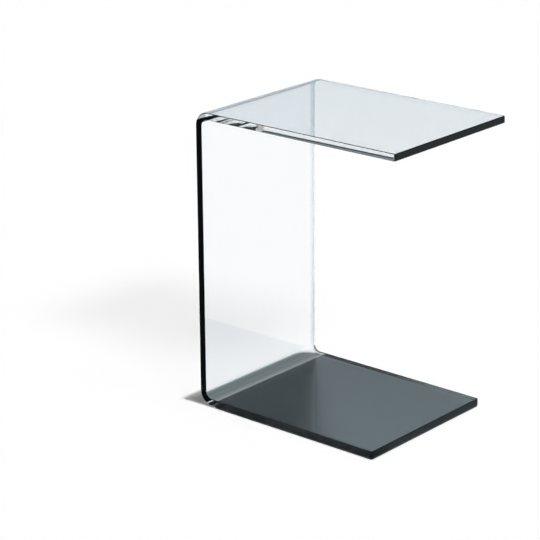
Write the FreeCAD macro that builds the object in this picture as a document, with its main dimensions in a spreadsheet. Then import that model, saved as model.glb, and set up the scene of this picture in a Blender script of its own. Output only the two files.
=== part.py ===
# C-shaped side table: one sheet of clear glass bent twice, on a dark plate bonded under its lower leg.
# Millimetres, +Z up. The origin lies on the floor under the middle of the top.
# The upright wall is at -X, both legs point to +X and the width runs along Y.
import FreeCAD, Part
import math
import os
import Sketcher

Y_AXIS = FreeCAD.Vector(0, 1, 0)
Z_AXIS = FreeCAD.Vector(0, 0, 1)
PARALLEL = 1e-6
QUARTER_TURN = math.pi / 2

doc = FreeCAD.newDocument("SideTable")
sizes = doc.addObject("Spreadsheet::Sheet", "Sizes")

# Driving dimensions: alias, value in millimetres, what it measures
DIMENSIONS = (
    ("table_height", 530, "floor to the upper face of the top"),
    ("table_width", 300, "glass sheet from edge to edge along Y"),
    ("top_length", 420, "outer face of the wall to the free end of the top"),
    ("base_length", 380, "outer face of the wall to the free end of the lower leg"),
    ("glass_thickness", 12.7, "glass sheet"),
    ("bend_inner_radius", 12.5, "both bends, on the hollow side of the sheet"),
    ("end_corner_radius", 3, "corners of the two free ends, seen from above"),
    ("edge_arris", 1, "bevel ground along every rim of the glass"),
    ("film_thickness", 0.5, "bonding film between glass and plate"),
    ("film_setback", 0.3, "rim of the film behind the rim of the plate"),
    ("plate_thickness", 1, "base plate"),
    ("plate_setback", 0.2, "rim of the plate behind the edge of the glass"),
    ("plate_wall_setback", 8, "rim of the plate at the wall from the end of the bend"),
    ("plate_corner_radius", 3, "corners of the plate and of the film"),
    ("pad_diameter", 22, "floor pad"),
    ("pad_thickness", 0.8, "floor pad"),
    ("pad_margin", 12, "rim of a floor pad to the rim of the plate"),
    ("pad_adhesive_thickness", 0.2, "adhesive disc on a floor pad"),
    ("pad_adhesive_setback", 0.5, "rim of the adhesive disc behind the rim of the pad"),
)
for row, (alias, value, meaning) in enumerate(DIMENSIONS, start=1):
    sizes.set(f"A{row}", alias)
    sizes.set(f"B{row}", str(value))
    sizes.setAlias(f"B{row}", alias)
    sizes.set(f"C{row}", meaning)
doc.recompute()

# Places that several pieces share, written in the sheet's names
WALL_FACE = "(Sizes.top_length / 2)"
BEND_OUTER_RADIUS = "(Sizes.bend_inner_radius + Sizes.glass_thickness)"
PLATE_UNDERSIDE = "(Sizes.pad_thickness + Sizes.pad_adhesive_thickness)"
FILM_UNDERSIDE = f"({PLATE_UNDERSIDE} + Sizes.plate_thickness)"
GLASS_UNDERSIDE = f"({FILM_UNDERSIDE} + Sizes.film_thickness)"
PLATE_WALL_RIM = f"(-{WALL_FACE} + {BEND_OUTER_RADIUS} + Sizes.plate_wall_setback)"
PLATE_END_RIM = f"(-{WALL_FACE} + Sizes.base_length - Sizes.plate_setback)"
PLATE_SIDE_RIM = "(Sizes.table_width / 2 - Sizes.plate_setback)"


def origin_plane(body, role):
    return next(feature for feature in body.Origin.OriginFeatures if feature.Role == role)


def add_sketch(body, name, role):
    sketch = body.newObject("Sketcher::SketchObject", name)
    sketch.AttachmentSupport = [(origin_plane(body, role), "")]
    sketch.MapMode = "FlatFace"
    return sketch


def add_dimension(sketch, name, expression, kind, *where):
    """Adds a named driving dimension to a sketch and binds it to the sheet."""
    index = sketch.addConstraint(Sketcher.Constraint(kind, *where, sketch.evalExpression(expression)))
    sketch.renameConstraint(index, name)
    sketch.setExpression(f"Constraints.{name}", expression)


def runs_along(edge, axis):
    if not isinstance(edge.Curve, Part.Line):
        return False
    return edge.Curve.Direction.cross(axis).Length < PARALLEL


def edge_names(shape, wanted):
    return [f"Edge{number}" for number, edge in enumerate(shape.Edges, start=1) if wanted(edge)]


def bent_glass_sheet():
    """The C profile with its two bends, drawn once and run across the width of the table."""
    body = doc.addObject("PartDesign::Body", "BentGlassSheet")
    body.Label = "bent_glass_sheet"
    sketch = add_sketch(body, "GlassProfile", "XZ_Plane")

    wall = -sketch.evalExpression(WALL_FACE)
    low = sketch.evalExpression(GLASS_UNDERSIDE)
    high = sizes.table_height
    thick = sizes.glass_thickness
    inner = sizes.bend_inner_radius
    outer = inner + thick
    bend = wall + outer
    top_end = wall + sizes.top_length
    base_end = wall + sizes.base_length

    def line(x1, z1, x2, z2):
        segment = Part.LineSegment(FreeCAD.Vector(x1, z1, 0), FreeCAD.Vector(x2, z2, 0))
        return sketch.addGeometry(segment, False)

    def quarter_arc(z, radius, start):
        circle = Part.Circle(FreeCAD.Vector(bend, z, 0), Z_AXIS, radius)
        return sketch.addGeometry(Part.ArcOfCircle(circle, start, start + QUARTER_TURN), False)

    base_lower = line(base_end, low, bend, low)
    lower_outer_bend = quarter_arc(low + outer, outer, 2 * QUARTER_TURN)
    wall_outer = line(wall, low + outer, wall, high - outer)
    upper_outer_bend = quarter_arc(high - outer, outer, QUARTER_TURN)
    top_upper = line(bend, high, top_end, high)
    top_edge = line(top_end, high, top_end, high - thick)
    top_lower = line(top_end, high - thick, bend, high - thick)
    upper_inner_bend = quarter_arc(high - outer, inner, QUARTER_TURN)
    wall_inner = line(wall + thick, high - outer, wall + thick, low + outer)
    lower_inner_bend = quarter_arc(low + outer, inner, 2 * QUARTER_TURN)
    base_upper = line(bend, low + thick, base_end, low + thick)
    base_edge = line(base_end, low + thick, base_end, low)

    first, last, centre = 1, 2, 3
    for segment in (base_lower, top_upper, top_lower, base_upper):
        sketch.addConstraint(Sketcher.Constraint("Horizontal", segment))
    for segment in (wall_outer, top_edge, wall_inner, base_edge):
        sketch.addConstraint(Sketcher.Constraint("Vertical", segment))
    square_ends = (
        (top_upper, top_edge),
        (top_edge, top_lower),
        (base_upper, base_edge),
        (base_edge, base_lower),
    )
    for one, other in square_ends:
        sketch.addConstraint(Sketcher.Constraint("Coincident", one, last, other, first))
    # Each arc runs counterclockwise, so its first point is the one at the smaller angle
    for segment, end, arc, arc_end in (
        (base_lower, last, lower_outer_bend, last),
        (wall_outer, first, lower_outer_bend, first),
        (wall_outer, last, upper_outer_bend, last),
        (top_upper, first, upper_outer_bend, first),
        (top_lower, last, upper_inner_bend, first),
        (wall_inner, first, upper_inner_bend, last),
        (wall_inner, last, lower_inner_bend, first),
        (base_upper, first, lower_inner_bend, last),
    ):
        sketch.addConstraint(Sketcher.Constraint("Tangent", segment, end, arc, arc_end))
    for one, other in ((lower_outer_bend, lower_inner_bend), (upper_outer_bend, upper_inner_bend)):
        sketch.addConstraint(Sketcher.Constraint("Coincident", one, centre, other, centre))
    sketch.addConstraint(Sketcher.Constraint("Equal", lower_inner_bend, upper_inner_bend))

    origin = (-1, 1)
    add_dimension(sketch, "wall_place", WALL_FACE, "DistanceX", wall_outer, first, *origin)
    add_dimension(sketch, "top_length", "Sizes.top_length", "DistanceX", wall_outer, last, top_edge, first)
    add_dimension(sketch, "leg_length", "Sizes.base_length", "DistanceX", wall_outer, first, base_edge, last)
    add_dimension(sketch, "underside", GLASS_UNDERSIDE, "DistanceY", *origin, base_edge, last)
    add_dimension(sketch, "height", "Sizes.table_height", "DistanceY", *origin, top_edge, first)
    add_dimension(sketch, "stock", "Sizes.glass_thickness", "DistanceY", base_edge, last, base_edge, first)
    add_dimension(sketch, "bend_radius", "Sizes.bend_inner_radius", "Radius", lower_inner_bend)

    sheet = body.newObject("PartDesign::Pad", "GlassWidth")
    sheet.Profile = sketch
    sheet.SideType = "Symmetric"
    sheet.setExpression("Length", "Sizes.table_width")
    doc.recompute()

    def past_bend(edge):
        return edge.CenterOfMass.x > bend

    corners = body.newObject("PartDesign::Fillet", "EndCorners")
    corners.Base = (sheet, edge_names(sheet.Shape, lambda e: runs_along(e, Z_AXIS) and past_bend(e)))
    corners.setExpression("Radius", "Sizes.end_corner_radius")
    doc.recompute()

    # The rim is every edge but the seams of the bends and of the rounded corners
    def on_rim(edge):
        corner_seam = runs_along(edge, Z_AXIS) and past_bend(edge)
        bend_seam = runs_along(edge, Y_AXIS) and edge.CenterOfMass.x < bend + thick
        return not corner_seam and not bend_seam

    arris = body.newObject("PartDesign::Chamfer", "GroundArris")
    arris.Base = (corners, edge_names(corners.Shape, on_rim))
    arris.setExpression("Size", "Sizes.edge_arris")
    return body


def flat_sheet(label, underside, thickness, setback):
    """A rounded rectangle under the flat stretch of the lower leg, set back from the rim of the plate."""
    body = doc.addObject("PartDesign::Body", "".join(word.capitalize() for word in label.split("_")))
    body.Label = label
    sketch = add_sketch(body, f"{body.Name}Outline", "XY_Plane")
    sketch.setExpression("AttachmentOffset.Base.z", underside)

    left_rim = f"({PLATE_WALL_RIM} + {setback})"
    right_rim = f"({PLATE_END_RIM} - {setback})"
    side_rim = f"({PLATE_SIDE_RIM} - {setback})"
    left = sketch.evalExpression(left_rim)
    right = sketch.evalExpression(right_rim)
    side = sketch.evalExpression(side_rim)
    corners = ((left, -side), (right, -side), (right, side), (left, side))
    near, end, far, wall = [
        sketch.addGeometry(Part.LineSegment(FreeCAD.Vector(*one, 0), FreeCAD.Vector(*other, 0)), False)
        for one, other in zip(corners, corners[1:] + corners[:1])
    ]
    first, last = 1, 2
    for one, other in ((near, end), (end, far), (far, wall), (wall, near)):
        sketch.addConstraint(Sketcher.Constraint("Coincident", one, last, other, first))
    for segment in (near, far):
        sketch.addConstraint(Sketcher.Constraint("Horizontal", segment))
    sketch.addConstraint(Sketcher.Constraint("Vertical", wall))
    # Halves alike on both sides of the X axis, which also squares the end side
    origin = (-1, 1)
    x_axis_line = -1
    sketch.addConstraint(Sketcher.Constraint("Symmetric", end, first, end, last, x_axis_line))
    add_dimension(sketch, "wall_rim", f"-{left_rim}", "DistanceX", near, first, *origin)
    add_dimension(sketch, "length", f"{right_rim} - {left_rim}", "DistanceX", near, first, near, last)
    add_dimension(sketch, "width", f"2 * {side_rim}", "DistanceY", end, first, end, last)

    slab = body.newObject("PartDesign::Pad", f"{body.Name}Slab")
    slab.Profile = sketch
    slab.setExpression("Length", thickness)
    doc.recompute()
    rounding = body.newObject("PartDesign::Fillet", f"{body.Name}Corners")
    rounding.Base = (slab, edge_names(slab.Shape, lambda e: runs_along(e, Z_AXIS)))
    rounding.setExpression("Radius", "Sizes.plate_corner_radius")
    return body


def corner_disc(label, end_side, right_side, radius, underside, thickness):
    """A disc under one corner of the base plate: a floor pad or its adhesive."""
    inward = "(Sizes.pad_margin + Sizes.pad_diameter / 2)"
    across = f"({PLATE_SIDE_RIM} - {inward})"
    disc = doc.addObject("Part::Cylinder", "".join(word.capitalize() for word in label.split("_")))
    disc.Label = label
    disc.setExpression("Radius", radius)
    disc.setExpression("Height", thickness)
    place_x = f"{PLATE_END_RIM} - {inward}" if end_side else f"{PLATE_WALL_RIM} + {inward}"
    disc.setExpression("Placement.Base.x", place_x)
    disc.setExpression("Placement.Base.y", across if right_side else f"-{across}")
    disc.setExpression("Placement.Base.z", underside)
    return disc


nodes = [
    bent_glass_sheet(),
    flat_sheet("bonding_film", FILM_UNDERSIDE, "Sizes.film_thickness", "Sizes.film_setback"),
    flat_sheet("base_plate", PLATE_UNDERSIDE, "Sizes.plate_thickness", "0"),
]
PAD_RADIUS = "(Sizes.pad_diameter / 2)"
for end_name, end_side in (("wall", False), ("end", True)):
    for side_name, right_side in (("left", False), ("right", True)):
        corner = f"{end_name}_{side_name}"
        pad = corner_disc(
            f"floor_pad_{corner}",
            end_side,
            right_side,
            PAD_RADIUS,
            "0",
            "Sizes.pad_thickness",
        )
        adhesive = corner_disc(
            f"pad_adhesive_{corner}",
            end_side,
            right_side,
            f"{PAD_RADIUS} - Sizes.pad_adhesive_setback",
            "Sizes.pad_thickness",
            "Sizes.pad_adhesive_thickness",
        )
        nodes += [pad, adhesive]
doc.recompute()

for thing in doc.Objects:
    if "Invalid" in thing.State or "Error" in thing.State:
        raise RuntimeError(f"{thing.Label} failed to build: {thing.State}")
for node in nodes:
    if node.Shape.isNull() or not node.Shape.isValid() or len(node.Shape.Solids) != 1:
        raise RuntimeError(f"{node.Label} is not one valid solid")

os.makedirs("parts", exist_ok=True)
for node in nodes:
    node.Shape.exportStep(f"parts/{node.Label}.step")
    box = node.Shape.BoundBox
    print(f"{node.Label}: {box.XLength:.2f} x {box.YLength:.2f} x {box.ZLength:.2f} mm, "
          f"from z {box.ZMin:.2f}, {node.Shape.Volume:.1f} mm3")
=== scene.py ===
"""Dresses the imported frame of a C-shaped side table, bent from one sheet of clear glass."""

import math

import bmesh
import bpy
from bpy.props import FloatProperty, FloatVectorProperty, IntProperty, PointerProperty
from bpy.types import Operator, Panel, PropertyGroup
from mathutils import Euler, Matrix, Vector


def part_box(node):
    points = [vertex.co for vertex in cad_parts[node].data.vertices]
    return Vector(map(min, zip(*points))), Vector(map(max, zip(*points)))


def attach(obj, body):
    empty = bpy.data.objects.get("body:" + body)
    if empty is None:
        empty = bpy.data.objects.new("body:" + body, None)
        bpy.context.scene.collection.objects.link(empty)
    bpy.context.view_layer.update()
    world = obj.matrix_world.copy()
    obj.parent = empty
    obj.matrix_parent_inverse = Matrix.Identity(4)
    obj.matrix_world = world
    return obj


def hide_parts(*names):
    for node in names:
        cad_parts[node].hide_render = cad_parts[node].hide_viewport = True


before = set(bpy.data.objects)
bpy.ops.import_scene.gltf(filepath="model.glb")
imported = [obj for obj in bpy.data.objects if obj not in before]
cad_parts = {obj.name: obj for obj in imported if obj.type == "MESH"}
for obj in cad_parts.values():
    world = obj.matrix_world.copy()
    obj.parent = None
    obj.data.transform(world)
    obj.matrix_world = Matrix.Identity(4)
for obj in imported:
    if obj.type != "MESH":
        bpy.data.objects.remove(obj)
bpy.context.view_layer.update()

bl_info = {
    "name": "Bent glass side table",
    "version": (1, 0, 0),
    "blender": (4, 5, 0),
    "location": "3D View > Sidebar > Side table",
    "description": "Models and finishes a side table bent from one sheet of glass",
    "category": "Object",
}

MM = 0.001
CORNERS = ("wall_left", "wall_right", "end_left", "end_right")

# Modelling of the sheet: how its edges and faces are found, and how it is rounded
PLACE_TOLERANCE = 0.1 * MM
LEVEL_TOLERANCE = 0.01 * MM
MERGE_DISTANCE = 0.001 * MM
DOWNWARD = -0.9999
CORNER_STEPS = 6
RIM_ANGLE = math.radians(60.0)
SMOOTH_ANGLE = math.radians(30.0)

# Slow drift of the clear glass, down to a share of its tint
DRIFT_SCALE = 3.0
DRIFT_DETAIL = 2.0
DRIFT_SHARE = 0.995

# Where the tints and their painted shade set in and are full, as shares of a bend's outer radius or of a
# reach
FULL_BEND_SHARE = 0.8
CREST_START_SHARE = 0.7
CREST_FULL_SHARE = 0.5
FULL_REACH_SHARE = 0.8

# The lower bend's painted shade clears towards its far end: where this starts and is full, and how far
# the painted tint drops
CLEARING_START = 45.0 * MM
CLEARING_FULL = 8.0 * MM
CLEARING_DROP = 13.0 * MM

# Half the width over which the rim's painted tint sets in, and how high the lower leg reaches, in
# thicknesses
RIM_BLUR = 0.5 * MM
LEG_HEIGHT_SHARE = 1.5

# Slants that tell the lamps apart: a larger one is the steep lamp's on the wall, a low lamp's on the top
WALL_SLANT = 0.39
TOP_SLANT = 0.235

# Grain of the opaque finishes
FINE_SHARE = 0.6
FINE_DETAIL = 4.0
BROAD_SCALE = 12.0
BROAD_DETAIL = 2.0
COLOUR_SWING = 0.12
GLOSS_SWING = 0.4
GRAIN_DEPTH = 0.1 * MM

# Floor, and the soft edges of the screens that the glass mirrors
FLOOR_RADIUS = 30.0
FLOOR_SIDES = 96
FRONT_FADE_SHARE = 0.5
SCREEN_EDGE_START = -20.0 * MM
SCREEN_EDGE_END = 60.0 * MM

# The climbs above the horizon at which the studio's lower wall ends and its upper part starts
LOWER_WALL_END = math.radians(17.5)
UPPER_PART_START = math.radians(20.5)

# Light that comes off the film passed and turned in the glass fewer times than this
FEW_TURNS = 2.5

LAMP_DISTANCE = 2.0
SENSOR_WIDTH = 36.0
WHITE = (1.0, 1.0, 1.0, 1.0)


class Value:
    """A socket of a node tree, so that shader maths reads as Python."""

    def __init__(self, tree, socket):
        self.tree = tree
        self.socket = socket

    def maths(self, operation, *terms):
        node = self.tree.nodes.new("ShaderNodeMath")
        node.operation = operation
        for socket, term in zip(node.inputs, terms):
            feed(self.tree, socket, term)
        return Value(self.tree, node.outputs[0])

    def __add__(self, other):
        return self.maths("ADD", self, other)

    def __radd__(self, other):
        return self.maths("ADD", other, self)

    def __sub__(self, other):
        return self.maths("SUBTRACT", self, other)

    def __rsub__(self, other):
        return self.maths("SUBTRACT", other, self)

    def __mul__(self, other):
        return self.maths("MULTIPLY", self, other)

    def __rmul__(self, other):
        return self.maths("MULTIPLY", other, self)

    def __gt__(self, other):
        return self.maths("GREATER_THAN", self, other)

    def __lt__(self, other):
        return self.maths("LESS_THAN", self, other)

    def __abs__(self):
        return self.maths("ABSOLUTE", self)


def feed(tree, socket, value):
    """Links a socket to a value of the tree, or sets it to a plain number or colour."""
    if isinstance(value, Value):
        tree.links.new(value.socket, socket)
    else:
        socket.default_value = value


def find_socket(sockets, key):
    """A socket by its number or name, among those that the node's settings leave in use."""
    if isinstance(key, int):
        return sockets[key]
    name = key.replace("_", " ")
    for socket in sockets:
        if socket.name.lower() == name.lower() and socket.enabled:
            return socket
    raise KeyError(f"no socket named {name}")


class Nodes:
    """The node tree of a material or a world, emptied and ready to be wired."""

    def __init__(self, owner):
        owner.use_nodes = True
        self.tree = owner.node_tree
        self.tree.nodes.clear()

    def node(self, kind, output=0, settings=None, inputs=(), **sockets):
        """Adds one node: its settings, then its sockets in order, or by name with _ for a space."""
        made = self.tree.nodes.new(kind)
        for key, value in (settings or {}).items():
            setattr(made, key, value)
        for socket, value in zip(made.inputs, inputs):
            feed(self.tree, socket, value)
        for key, value in sockets.items():
            feed(self.tree, find_socket(made.inputs, key), value)
        if not made.outputs:
            return None
        return Value(self.tree, find_socket(made.outputs, output))

    def axes(self, coordinates):
        """X, Y and Z of one kind of texture coordinates."""
        split = self.node("ShaderNodeSeparateXYZ", Vector=self.node("ShaderNodeTexCoord", coordinates))
        return [Value(self.tree, axis) for axis in split.socket.node.outputs]

    def ray(self, fact):
        """What is known of the ray that arrives, such as Is Glossy Ray."""
        return self.node("ShaderNodeLightPath", fact)

    def rise(self, value, start, full, settings=None):
        """0 at the start, 1 where it is full, and a ramp between them."""
        return self.node(
            "ShaderNodeMapRange", "Result", settings, Value=value, From_Min=start, From_Max=full
        )

    def blend(self, factor, first, second):
        """The first colour where the factor is 0, and the second where it is 1."""
        return self.node(
            "ShaderNodeMix", "Result", {"data_type": "RGBA"}, Factor=factor, A=first, B=second
        )

    def mix_shader(self, factor, first, second):
        """The first shader where the factor is 0, and the second where it is 1."""
        return self.node("ShaderNodeMixShader", inputs=(factor, first, second))

    def glow(self, colour):
        """A surface that shows its colour under any light."""
        return self.node("ShaderNodeEmission", Color=colour, Strength=1.0)

    def straight(self, share):
        """Lets a share of the light go straight on."""
        return self.node("ShaderNodeBsdfTransparent", Color=rgba([share] * 3))


def rgba(colour):
    return (*colour, 1.0)


def scaled(colour, factor):
    return rgba([channel * factor for channel in colour])


def length_setting(name, description, default):
    return FloatProperty(
        name=name, description=description, default=default, unit="LENGTH", precision=5
    )


def angle_setting(name, description, default):
    return FloatProperty(name=name, description=description, default=default, subtype="ANGLE")


def share_setting(name, description, default):
    return FloatProperty(
        name=name, description=description, default=default, subtype="FACTOR", min=0.0, max=1.0
    )


def direction_setting(name, description, default):
    return FloatVectorProperty(
        name=name, description=description, default=default, subtype="DIRECTION", size=3
    )


def colour_setting(name, description, default):
    return FloatVectorProperty(
        name=name,
        description=description,
        default=default,
        subtype="COLOR",
        size=3,
        min=0.0,
        max=1.0,
    )


class GlassSettings(PropertyGroup):
    """Sizes and colours of the bent glass sheet."""

    thickness: length_setting("Thickness", "Thickness of the glass sheet", 12.7 * MM)
    bend_inner_radius: length_setting("Bend inner radius", "Radius on the inside of each bend", 12.5 * MM)
    end_corner_radius: length_setting(
        "End corner radius", "Radius of the corners at the two free ends", 3.0 * MM
    )
    arris: length_setting("Arris", "Width of the ground bevel along every rim of the sheet", 1.0 * MM)
    plate_setback: length_setting(
        "Plate setback", "How far the base plate stays back from the rim of the lower leg", 0.2 * MM
    )
    contact_depth: length_setting(
        "Contact depth",
        "How far the film's face lies inside the glass, so that they touch without air",
        0.05 * MM,
    )
    bend_steps: IntProperty(
        name="Bend steps", description="Number of facets round each bend", default=48, min=8
    )
    refractive_index: FloatProperty(
        name="Refractive index",
        description="How strongly the glass bends light",
        default=1.61,
        min=1.0,
    )
    tint: colour_setting(
        "Tint", "Colour of white light after one pass through the sheet", (0.985, 0.993, 1.0)
    )
    # Painted shade: the lower bend is darker than the glass's own tint over its longer way, and stands in
    # for the shade under the bend that shows through it
    bend_tint_and_painted_shade: colour_setting(
        "Bend tint",
        "Colour of white light after one pass through the lower bend, a longer way",
        (0.63, 0.745, 0.765),
    )
    # Painted shade: the crest's dark grey stands in for the dark line that light gives along the upper
    # bend
    crest_painted_shade: colour_setting(
        "Crest tint",
        "Colour of white light after one pass through the crest of the upper bend",
        (0.30, 0.29, 0.285),
    )
    # Painted shade: a band of the glass's deeper tint along the rims, standing in for light's long way
    # where it turns at a rim, though the glass is tinted evenly
    rim_tint_and_painted_shade: colour_setting(
        "Rim tint",
        "Colour of white light that turns at a long rim on its way, a longer one",
        (0.775, 0.85, 0.90),
    )
    rim_width: length_setting("Rim width", "How far the rim's tint reaches into the sheet", 6.5 * MM)
    # Painted shade: a still darker band along the wall's rim near the upper bend
    rim_bend_tint_and_painted_shade: colour_setting(
        "Rim tint at the bend",
        "Colour of white light that turns at the wall's rim near the upper bend",
        (0.42, 0.53, 0.56),
    )
    rim_bend_reach: length_setting(
        "Rim reach at the bend", "How far below the top the wall's rim has the deeper tint", 120.0 * MM
    )
    wall_mirrored: colour_setting(
        "Mirrored wall",
        "Colour of the upright wall where the lower leg mirrors it",
        (0.20, 0.235, 0.25),
    )
    leg_mirrored: colour_setting(
        "Mirrored leg",
        "Colour of the lower leg where the upright wall mirrors it",
        (0.30, 0.50, 0.66),
    )
    clear_shade: share_setting(
        "Clear shade", "Light that goes straight on through each other face of the sheet", 0.998
    )
    wall_shade: share_setting(
        "Wall shade", "Light of the low lamps that goes straight on through each face of the wall", 0.93
    )
    top_shade: share_setting(
        "Top shade", "Light of the low lamps that goes straight on through each face of the top", 0.43
    )
    foot_shade: share_setting(
        "Foot shade",
        "Light of the steep lamp that goes straight on through each face at the wall's foot",
        0.05,
    )
    foot_height: length_setting(
        "Foot height", "Height up to which the wall's foot keeps the steep light back", 72.0 * MM
    )
    bend_shade: share_setting(
        "Bend shade", "Light that goes straight on through each face of the lower bend", 0.35
    )


class BaseSettings(PropertyGroup):
    """Finishes of the film, plate and pads under the lower leg."""

    film_colour: colour_setting(
        "Film colour",
        "Colour of the bonding film that shows through the lower leg",
        (0.255, 0.286, 0.30),
    )
    film_roughness: share_setting(
        "Film roughness", "Roughness of the film, whose reflections are soft", 0.15
    )
    film_metal: share_setting("Film metal", "Share of metal flake in the film", 1.0)
    plate_colour: colour_setting(
        "Plate colour", "Colour of the powder coat on the base plate", (0.010, 0.0115, 0.012)
    )
    pad_colour: colour_setting("Pad colour", "Colour of the rubber floor pads", (0.030, 0.030, 0.032))
    adhesive_colour: colour_setting(
        "Adhesive colour", "Colour of the adhesive discs above the pads", (0.46, 0.45, 0.42)
    )


class StageSettings(PropertyGroup):
    """Camera, floor and light of the picture."""

    camera_place: FloatVectorProperty(
        name="Camera place",
        description="Where the camera stands",
        default=(2.17905, -2.73821, 1.45978),
        subtype="TRANSLATION",
        size=3,
    )
    camera_heading: angle_setting(
        "Camera heading", "Direction of view round the vertical, from the X axis", 2.2813
    )
    camera_pitch: angle_setting("Camera pitch", "Direction of view above the horizon", -0.3318)
    camera_roll: angle_setting("Camera roll", "Turn of the camera round its line of view", -0.0077)
    lens: FloatProperty(
        name="Lens",
        description="Focal length on a 36 mm sensor, in millimetres",
        default=144.78,
        min=1.0,
    )
    key_direction: direction_setting(
        "Key light direction", "Direction from the table to the steep key light", (0.499, 0.026, 0.866)
    )
    key_spread: angle_setting(
        "Key light spread", "Angle that the key light fills as seen from the table", math.radians(6.5)
    )
    key_share: share_setting("Key light share", "Share of the floor's light from the key light", 0.72)
    low_direction: direction_setting(
        "Low light direction",
        "Direction from the table to the middle of the two low lamps",
        (0.577, -0.162, 0.530),
    )
    low_spread: angle_setting(
        "Low light spread", "Angle that each low lamp fills as seen from the table", math.radians(8.5)
    )
    low_width: angle_setting(
        "Low light width", "Angle between the middles of the two low lamps", math.radians(8.0)
    )
    low_share: share_setting("Low light share", "Share of the floor's light from the two low lamps", 0.17)
    bounces: IntProperty(
        name="Bounces",
        description="How often light may turn inside the glass, past which its edges stay black",
        default=6,
        min=1,
    )
    floor_colour: colour_setting("Floor colour", "Colour of the pale floor", (0.92, 0.92, 0.92))
    floor_mirrored: colour_setting(
        "Mirrored floor",
        "Colour of the floor behind the table where the glass mirrors it",
        (0.47, 0.59, 0.70),
    )
    front_mirrored: colour_setting(
        "Mirrored front",
        "Colour of the dark screen in front of the table where the glass mirrors it",
        (0.05, 0.05, 0.055),
    )
    side_mirrored: colour_setting(
        "Mirrored side",
        "Colour of the grey screen beside the table where the glass mirrors it",
        (0.29, 0.32, 0.32),
    )
    screen_reach: length_setting(
        "Screen reach", "How far to the side the pale floor goes before the grey screen", 1.1
    )
    screen_slope: FloatProperty(
        name="Screen slope",
        description="Slope of the grey screen's edge beside the table, in depth for each length across",
        default=1.164,
    )
    mirror_low: colour_setting(
        "Mirrored low",
        "Colour of the studio's lower wall where the glass mirrors it",
        (0.52, 0.66, 0.76),
    )
    mirror_high: colour_setting(
        "Mirrored high",
        "Colour of the studio's dark upper part where the glass mirrors it",
        (0.08, 0.09, 0.10),
    )
    through_low: colour_setting(
        "Seen-through low",
        "Colour of the studio's lower wall where it shows through the glass",
        (0.28, 0.31, 0.325),
    )
    through_high: colour_setting(
        "Seen-through high",
        "Colour of the studio's upper part after many turns in the glass",
        (0.03, 0.035, 0.04),
    )
    soft_box: colour_setting(
        "Soft box", "Colour of the soft box that the film under the lower leg mirrors", (0.88, 0.96, 1.0)
    )


def select_none():
    if bpy.context.mode != "OBJECT":
        bpy.ops.object.mode_set(mode="OBJECT")
    bpy.ops.object.select_all(action="DESELECT")


def pick(sheet, kind, test):
    """Selects the faces or edges of a sheet in edit mode that pass the test."""
    mesh = bmesh.from_edit_mesh(sheet.data)
    bpy.ops.mesh.select_mode(type=kind)
    bpy.ops.mesh.select_all(action="DESELECT")
    found = [part for part in (mesh.faces if kind == "FACE" else mesh.edges) if test(part)]
    if not found:
        raise RuntimeError(f"no {kind.lower()} of {sheet.name} was found to work on")
    for part in found:
        part.select_set(True)
    mesh.select_flush_mode()
    bmesh.update_edit_mesh(sheet.data)


def extrude(offset):
    bpy.ops.mesh.extrude_region_move(TRANSFORM_OT_translate={"value": offset})


def bend(centre, steps):
    """Turns the end of the sheet by a right angle, towards the wall or the top."""
    bpy.ops.mesh.spin(steps=steps, angle=-math.pi / 2, center=centre, axis=(0.0, 1.0, 0.0))


def paint(piece, material):
    """Puts one material on a piece, in place of what it came with."""
    piece.data.materials.clear()
    piece.data.materials.append(material)


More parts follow.
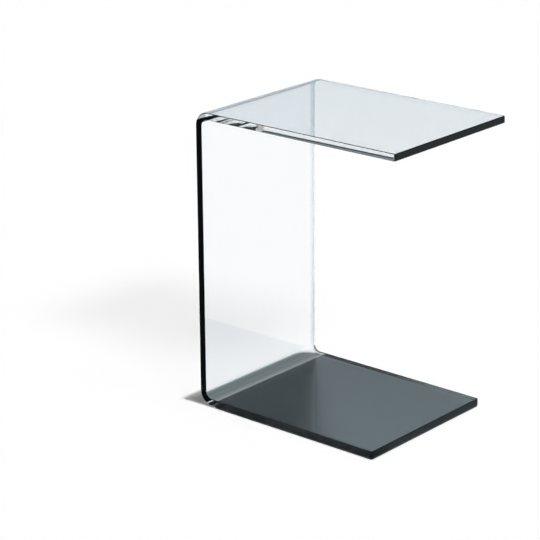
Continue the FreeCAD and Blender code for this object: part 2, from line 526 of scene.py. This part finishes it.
def model_glass_sheet(settings):
    """Draws the sheet's end section and sweeps it along the lower leg, wall and top."""
    low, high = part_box("bent_glass_sheet")
    thickness = settings.thickness
    outer_radius = settings.bend_inner_radius + thickness
    bend_x = low.x + outer_radius
    leg_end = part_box("base_plate")[1].x + settings.plate_setback
    width = high.y - low.y
    lower_centre = (bend_x, 0.0, low.z + outer_radius)
    upper_centre = (bend_x, 0.0, high.z - outer_radius)

    select_none()
    bpy.ops.mesh.primitive_plane_add(size=1.0)
    sheet = bpy.context.object
    sheet.name = "glass_sheet"
    bpy.ops.object.mode_set(mode="EDIT")
    bpy.ops.transform.resize(value=(thickness, width, 1.0))
    bpy.ops.transform.rotate(value=math.pi / 2, orient_axis="Y", center_override=(0.0, 0.0, 0.0))
    bpy.ops.transform.translate(value=(leg_end, 0.0, low.z + thickness / 2))
    extrude((bend_x - leg_end, 0.0, 0.0))
    bend(lower_centre, settings.bend_steps)
    extrude((0.0, 0.0, upper_centre[2] - lower_centre[2]))
    bend(upper_centre, settings.bend_steps)
    extrude((high.x - bend_x, 0.0, 0.0))
    bpy.ops.mesh.select_all(action="SELECT")
    bpy.ops.mesh.remove_doubles(threshold=MERGE_DISTANCE)
    bpy.ops.mesh.normals_make_consistent(inside=False)

    def is_end_corner(edge):
        first, second = (vert.co for vert in edge.verts)
        sideways = max(abs(first.x - second.x), abs(first.y - second.y))
        from_end = min(abs(first.x - leg_end), abs(first.x - high.x))
        return max(sideways, from_end) < PLACE_TOLERANCE

    pick(sheet, "EDGE", is_end_corner)
    bpy.ops.mesh.bevel(offset=settings.end_corner_radius, segments=CORNER_STEPS, affect="EDGES")
    bpy.ops.mesh.select_all(action="DESELECT")
    bpy.ops.mesh.edges_select_sharp(sharpness=RIM_ANGLE)
    bpy.ops.mesh.bevel(offset=settings.arris, segments=1, affect="EDGES")

    def is_underside(face):
        level = face.calc_center_median().z < low.z + LEVEL_TOLERANCE
        return level and face.normal.z < DOWNWARD

    # The underside touches the film and is as wide as the plate, so that no light enters beside the film
    pick(sheet, "FACE", is_underside)
    bpy.ops.transform.translate(value=(0.0, 0.0, -settings.contact_depth))
    widening = (width / 2 - settings.plate_setback) / (width / 2 - settings.arris)
    bpy.ops.transform.resize(value=(1.0, widening, 1.0), center_override=(0.0, 0.0, 0.0))
    bpy.ops.object.mode_set(mode="OBJECT")
    bpy.ops.object.shade_smooth_by_angle(angle=SMOOTH_ANGLE)
    bpy.ops.object.modifier_add(type="WEIGHTED_NORMAL")
    sheet.modifiers[-1].keep_sharp = True
    bpy.ops.object.modifier_apply(modifier=sheet.modifiers[-1].name)
    return sheet


class SheetPlace:
    """Where a point lies on the sheet: its coordinates, and the places that they are set against."""

    def __init__(self, wires, settings):
        self.low, self.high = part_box("bent_glass_sheet")
        self.radius = settings.bend_inner_radius + settings.thickness
        self.bend_x = self.low.x + self.radius
        self.wall_start = self.low.z + self.radius
        self.wall_end = self.high.z - self.radius
        self.across, self.depth, self.height = wires.axes("Object")
        self.before_film = self.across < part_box("bonding_film")[0].x
        self.above_bend = self.height > self.wall_start


def glass_tint_and_painted_shade(wires, settings, place):
    """A faint cool tint with painted shade: the lower bend and bands along the rims are darker than the
    glass's own deeper tint on its longer way there, and the crest of the upper bend has a painted dark
    line.
    """
    low, high, radius = place.low, place.high, place.radius
    across, depth, height = place.across, place.depth, place.height
    drift = wires.node(
        "ShaderNodeTexNoise",
        "Fac",
        Vector=wires.node("ShaderNodeTexCoord", "Object"),
        Scale=DRIFT_SCALE,
        Detail=DRIFT_DETAIL,
    )
    clear = wires.blend(drift, scaled(settings.tint, DRIFT_SHARE), rgba(settings.tint))

    # Painted shade in the lower bend, fading out towards its far end
    clearing = wires.rise(depth, high.y - CLEARING_START, high.y - CLEARING_FULL)
    bend_depth = wires.rise(
        height + clearing * CLEARING_DROP, place.wall_start, low.z + radius * FULL_BEND_SHARE
    )
    tint = wires.blend(bend_depth * place.before_film, clear, rgba(settings.bend_tint_and_painted_shade))

    # Painted shade along the crest of the upper bend
    crest_height = wires.rise(
        height, high.z - radius * CREST_START_SHARE, high.z - radius * CREST_FULL_SHARE
    )
    crest_reach = wires.rise(across, place.bend_x, low.x + radius * FULL_BEND_SHARE)
    tint = wires.blend(crest_height * crest_reach, tint, rgba(settings.crest_painted_shade))

    # Painted shade in bands along the rims of the wall's outer face and the top's underside, darker near
    # the upper bend
    rim_start = high.y - settings.rim_width
    at_rim = wires.rise(abs(depth), rim_start - RIM_BLUR, rim_start + RIM_BLUR)
    outer_side = across < low.x + settings.thickness / 2
    under_top = (height < high.z - settings.thickness / 2) * (height > place.wall_end)
    leaves = outer_side * place.above_bend + under_top * (across > place.bend_x)
    near_bend = wires.rise(
        height,
        high.z - settings.rim_bend_reach,
        high.z - settings.rim_bend_reach * FULL_REACH_SHARE,
    )
    rim = wires.blend(
        near_bend * outer_side, rgba(settings.rim_tint_and_painted_shade), rgba(settings.rim_bend_tint_and_painted_shade)
    )
    return wires.blend(at_rim * leaves, tint, rim)


def mirrored_glass(wires, settings, place, glass):
    """The glass as wall and leg mirror each other, each in its own colour."""
    outside = 1.0 - wires.node("ShaderNodeNewGeometry", "Backfacing")
    on_wall = outside * (place.across < place.bend_x) * place.above_bend
    leg_height = place.low.z + settings.thickness * LEG_HEIGHT_SHARE
    on_leg = outside * (1.0 - place.before_film) * (place.height < leg_height)
    far_wall = wires.glow(rgba(settings.wall_mirrored))
    far_leg = wires.glow(rgba(settings.leg_mirrored))
    far = wires.mix_shader(on_leg, wires.mix_shader(on_wall, glass, far_wall), far_leg)
    return wires.mix_shader(wires.ray("Is Transmission Ray"), far, glass)


def passed_light(wires, settings, place):
    """The light that the sheet lets straight on to the floor, from soft light and from the lamps."""
    at_bend = place.before_film * (place.height < place.wall_start)
    on_upright = place.across < place.bend_x
    at_foot = on_upright * (place.height < place.low.z + settings.foot_height)
    at_top = place.height > place.wall_end
    past_bend = place.across > place.bend_x
    slant = wires.node("ShaderNodeLayerWeight", "Facing", Blend=0.5)
    clear_pass = wires.straight(settings.clear_shade)
    bend_pass = wires.straight(settings.bend_shade)
    steep_pass = wires.mix_shader(at_foot, clear_pass, wires.straight(settings.foot_shade))
    wall_pass = wires.mix_shader(
        slant > WALL_SLANT, wires.straight(settings.wall_shade), steep_pass
    )
    top_pass = wires.mix_shader(
        (slant > TOP_SLANT) * past_bend, clear_pass, wires.straight(settings.top_shade)
    )
    soft_light = wires.mix_shader(at_bend, clear_pass, bend_pass)
    lamp_light = wires.mix_shader(
        at_bend, wires.mix_shader(at_top, wall_pass, top_pass), bend_pass
    )
    return soft_light, lamp_light


def glass_finish(settings):
    """Clear glass with a faint cool tint and painted shade at its bends and rims, whose bends let little
    straight light through.
    """
    material = bpy.data.materials.new("clear_bent_glass")
    wires = Nodes(material)
    place = SheetPlace(wires, settings)
    glass = wires.node(
        "ShaderNodeBsdfPrincipled",
        Base_Color=glass_tint_and_painted_shade(wires, settings, place),
        Roughness=0.0,
        IOR=settings.refractive_index,
        Transmission_Weight=1.0,
    )
    mirrored = mirrored_glass(wires, settings, place, glass)
    soft_light, lamp_light = passed_light(wires, settings, place)
    surface = wires.mix_shader(wires.ray("Is Glossy Ray"), glass, mirrored)
    surface = wires.mix_shader(wires.ray("Is Diffuse Ray"), surface, soft_light)
    surface = wires.mix_shader(wires.ray("Is Shadow Ray"), surface, lamp_light)
    wires.node("ShaderNodeOutputMaterial", Surface=surface)
    return material


class SIDE_TABLE_OT_glass(Operator):
    """Models the bent glass sheet and gives it its clear finish"""

    bl_idname = "side_table.glass"
    bl_label = "Bent glass sheet"
    bl_options = {"REGISTER", "UNDO"}

    def execute(self, context):
        settings = context.scene.side_table.glass
        sheet = model_glass_sheet(settings)
        paint(sheet, glass_finish(settings))
        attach(sheet, "root")
        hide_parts("bent_glass_sheet")
        return {"FINISHED"}


def grained_finish(name, colour, grain, roughness, bump, shine, metal=0.0):
    """An opaque finish with a fine grain in its colour, gloss and relief."""
    material = bpy.data.materials.new(name)
    wires = Nodes(material)
    place = wires.node("ShaderNodeTexCoord", "Object")
    fine = wires.node("ShaderNodeTexNoise", "Fac", Vector=place, Scale=grain, Detail=FINE_DETAIL)
    broad = wires.node(
        "ShaderNodeTexNoise", "Fac", Vector=place, Scale=BROAD_SCALE, Detail=BROAD_DETAIL
    )
    shade = wires.blend(
        fine * FINE_SHARE + broad * (1.0 - FINE_SHARE),
        scaled(colour, 1.0 - COLOUR_SWING),
        scaled(colour, 1.0 + COLOUR_SWING),
    )
    relief = wires.node("ShaderNodeBump", "Normal", Strength=bump, Distance=GRAIN_DEPTH, Height=fine)
    coat = wires.node(
        "ShaderNodeBsdfPrincipled",
        Base_Color=shade,
        Roughness=roughness * (fine * GLOSS_SWING + (1.0 - GLOSS_SWING / 2)),
        Metallic=metal,
        Specular_IOR_Level=shine,
        Normal=relief,
    )
    wires.node("ShaderNodeOutputMaterial", Surface=coat)
    return material


class SIDE_TABLE_OT_film(Operator):
    """Gives the bonding film its anthracite finish"""

    bl_idname = "side_table.film"
    bl_label = "Bonding film"
    bl_options = {"REGISTER", "UNDO"}

    def execute(self, context):
        settings = context.scene.side_table.base
        finish = grained_finish(
            "anthracite_bonding_film",
            settings.film_colour,
            grain=1800.0,
            roughness=settings.film_roughness,
            bump=0.05,
            shine=0.5,
            metal=settings.film_metal,
        )
        paint(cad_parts["bonding_film"], finish)
        return {"FINISHED"}


class SIDE_TABLE_OT_plate(Operator):
    """Gives the base plate its powder coat"""

    bl_idname = "side_table.plate"
    bl_label = "Base plate"
    bl_options = {"REGISTER", "UNDO"}

    def execute(self, context):
        settings = context.scene.side_table.base
        finish = grained_finish(
            "powder_coated_plate",
            settings.plate_colour,
            grain=1400.0,
            roughness=0.5,
            bump=0.5,
            shine=0.3,
        )
        paint(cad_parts["base_plate"], finish)
        return {"FINISHED"}


class SIDE_TABLE_OT_pads(Operator):
    """Gives the four floor pads and their adhesive discs their finishes"""

    bl_idname = "side_table.pads"
    bl_label = "Floor pads"
    bl_options = {"REGISTER", "UNDO"}

    def execute(self, context):
        settings = context.scene.side_table.base
        rubber = grained_finish(
            "floor_pad_rubber", settings.pad_colour, grain=2200.0, roughness=0.8, bump=0.6, shine=0.3
        )
        adhesive = grained_finish(
            "clear_adhesive", settings.adhesive_colour, grain=900.0, roughness=0.4, bump=0.2, shine=0.5
        )
        for corner in CORNERS:
            paint(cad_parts[f"floor_pad_{corner}"], rubber)
            paint(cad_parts[f"pad_adhesive_{corner}"], adhesive)
        return {"FINISHED"}


def floor_finish(settings):
    """White to the camera but for the table's shadow, with screens where the glass mirrors it."""
    material = bpy.data.materials.new("pale_studio_floor")
    wires = Nodes(material)
    through = wires.ray("Is Transmission Ray")
    paper = wires.node("ShaderNodeBsdfDiffuse", Color=rgba(settings.floor_colour))
    lift = wires.glow(rgba([1.0 - channel for channel in settings.floor_colour]))
    lifted = wires.node("ShaderNodeAddShader", inputs=(paper, lift))
    white = wires.mix_shader(wires.ray("Is Camera Ray") + through, paper, lifted)

    across, depth, _ = wires.axes("Object")
    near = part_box("bent_glass_sheet")[0].y
    behind = wires.rise(depth, near, near * FRONT_FADE_SHARE)
    beside = wires.rise(
        depth - across * settings.screen_slope, SCREEN_EDGE_START, SCREEN_EDGE_END
    )
    on_floor = beside * (across < settings.screen_reach)
    back = wires.blend(on_floor, rgba(settings.side_mirrored), rgba(settings.floor_mirrored))
    screens = wires.glow(wires.blend(behind, rgba(settings.front_mirrored), back))
    mirrored = wires.ray("Is Glossy Ray") * (1.0 - through)
    surface = wires.mix_shader(mirrored, white, screens)
    wires.node("ShaderNodeOutputMaterial", Surface=surface)
    return material


def make_floor(settings):
    select_none()
    bpy.ops.mesh.primitive_circle_add(vertices=FLOOR_SIDES, radius=FLOOR_RADIUS, fill_type="NGON")
    floor = bpy.context.object
    floor.name = "studio_floor"
    paint(floor, floor_finish(settings))


def make_world(settings):
    """White to the camera, with its own levels for what the glass mirrors and shows."""
    world = bpy.data.worlds.new("studio")
    bpy.context.scene.world = world
    wires = Nodes(world)
    climb = wires.axes("Generated")[2]
    above = wires.rise(
        climb,
        math.sin(LOWER_WALL_END),
        math.sin(UPPER_PART_START),
        settings={"interpolation_type": "SMOOTHSTEP"},
    )
    passes = wires.ray("Transmission Depth")
    turns = wires.ray("Glossy Depth")
    off_film = (passes < FEW_TURNS) * (turns < FEW_TURNS)
    upper = wires.blend(off_film, rgba(settings.through_high), rgba(settings.soft_box))
    shown = wires.blend(above, rgba(settings.through_low), upper)
    mirrored = wires.blend(above, rgba(settings.mirror_low), rgba(settings.mirror_high))
    sharp = wires.blend(wires.ray("Is Transmission Ray"), mirrored, shown)
    fill = 1.0 - settings.key_share - settings.low_share
    soft = wires.blend(wires.ray("Is Glossy Ray"), rgba([fill] * 3), sharp)
    sky = wires.blend(wires.ray("Is Camera Ray"), soft, WHITE)
    back = wires.node("ShaderNodeBackground", Color=sky, Strength=1.0)
    wires.node("ShaderNodeOutputWorld", Surface=back)


def add_lamp(name, toward, spread, floor_share):
    """A far disc lamp that gives the floor its share of light."""
    select_none()
    bpy.ops.object.light_add(type="SUN", location=toward * LAMP_DISTANCE)
    lamp = bpy.context.object
    lamp.name = name
    lamp.rotation_euler = toward.to_track_quat("Z", "Y").to_euler()
    lamp.data.angle = spread
    lamp.data.energy = floor_share * math.pi / toward.z


def make_lamps(settings):
    """A steep key light, and two soft low lamps side by side on the open side of the table."""
    steep = Vector(settings.key_direction).normalized()
    add_lamp("key_light", steep, settings.key_spread, settings.key_share)
    low = Vector(settings.low_direction).normalized()
    for name, side in (("low_light_left", -1.0), ("low_light_right", 1.0)):
        turn = Matrix.Rotation(side * settings.low_width / 2, 3, "Z")
        add_lamp(name, turn @ low, settings.low_spread, settings.low_share / 2)


def make_camera(settings):
    data = bpy.data.cameras.new("camera")
    camera = bpy.data.objects.new("camera", data)
    bpy.context.scene.collection.objects.link(camera)
    aim = Euler((math.pi / 2 + settings.camera_pitch, 0.0, settings.camera_heading - math.pi / 2))
    turn = aim.to_matrix() @ Matrix.Rotation(settings.camera_roll, 3, "Z")
    camera.matrix_world = Matrix.Translation(settings.camera_place) @ turn.to_4x4()
    data.sensor_width = SENSOR_WIDTH
    data.lens = settings.lens
    bpy.context.scene.camera = camera


class SIDE_TABLE_OT_stage(Operator):
    """Sets the pale floor, the studio light and the camera"""

    bl_idname = "side_table.stage"
    bl_label = "Studio stage"
    bl_options = {"REGISTER", "UNDO"}

    def execute(self, context):
        settings = context.scene.side_table.stage
        make_floor(settings)
        make_world(settings)
        make_lamps(settings)
        make_camera(settings)
        scene = context.scene
        scene.view_settings.view_transform = "Standard"
        scene.cycles.max_bounces = settings.bounces
        scene.cycles.glossy_bounces = settings.bounces
        return {"FINISHED"}


class TableSettings(PropertyGroup):
    """All the settings of the side table."""

    glass: PointerProperty(type=GlassSettings)
    base: PointerProperty(type=BaseSettings)
    stage: PointerProperty(type=StageSettings)


class SIDE_TABLE_PT_panel(Panel):
    """Lists the settings and the steps of the side table"""

    bl_label = "Side table"
    bl_idname = "SIDE_TABLE_PT_panel"
    bl_space_type = "VIEW_3D"
    bl_region_type = "UI"
    bl_category = "Side table"

    def draw(self, context):
        settings = context.scene.side_table
        for group in (settings.glass, settings.base, settings.stage):
            box = self.layout.box()
            for name in group.bl_rna.properties.keys():
                if name not in ("rna_type", "name"):
                    box.prop(group, name)
        for step in STEPS:
            self.layout.operator(step.bl_idname)


STEPS = (
    SIDE_TABLE_OT_glass,
    SIDE_TABLE_OT_film,
    SIDE_TABLE_OT_plate,
    SIDE_TABLE_OT_pads,
    SIDE_TABLE_OT_stage,
)
CLASSES = (
    GlassSettings,
    BaseSettings,
    StageSettings,
    TableSettings,
    *STEPS,
    SIDE_TABLE_PT_panel,
)


def register():
    for cls in CLASSES:
        bpy.utils.register_class(cls)
    bpy.types.Scene.side_table = PointerProperty(type=TableSettings)


def unregister():
    del bpy.types.Scene.side_table
    for cls in reversed(CLASSES):
        bpy.utils.unregister_class(cls)


def main():
    register()
    bpy.ops.side_table.glass()
    bpy.ops.side_table.film()
    bpy.ops.side_table.plate()
    bpy.ops.side_table.pads()
    bpy.ops.side_table.stage()
    bpy.context.view_layer.update()


if __name__ == "__main__":
    main()
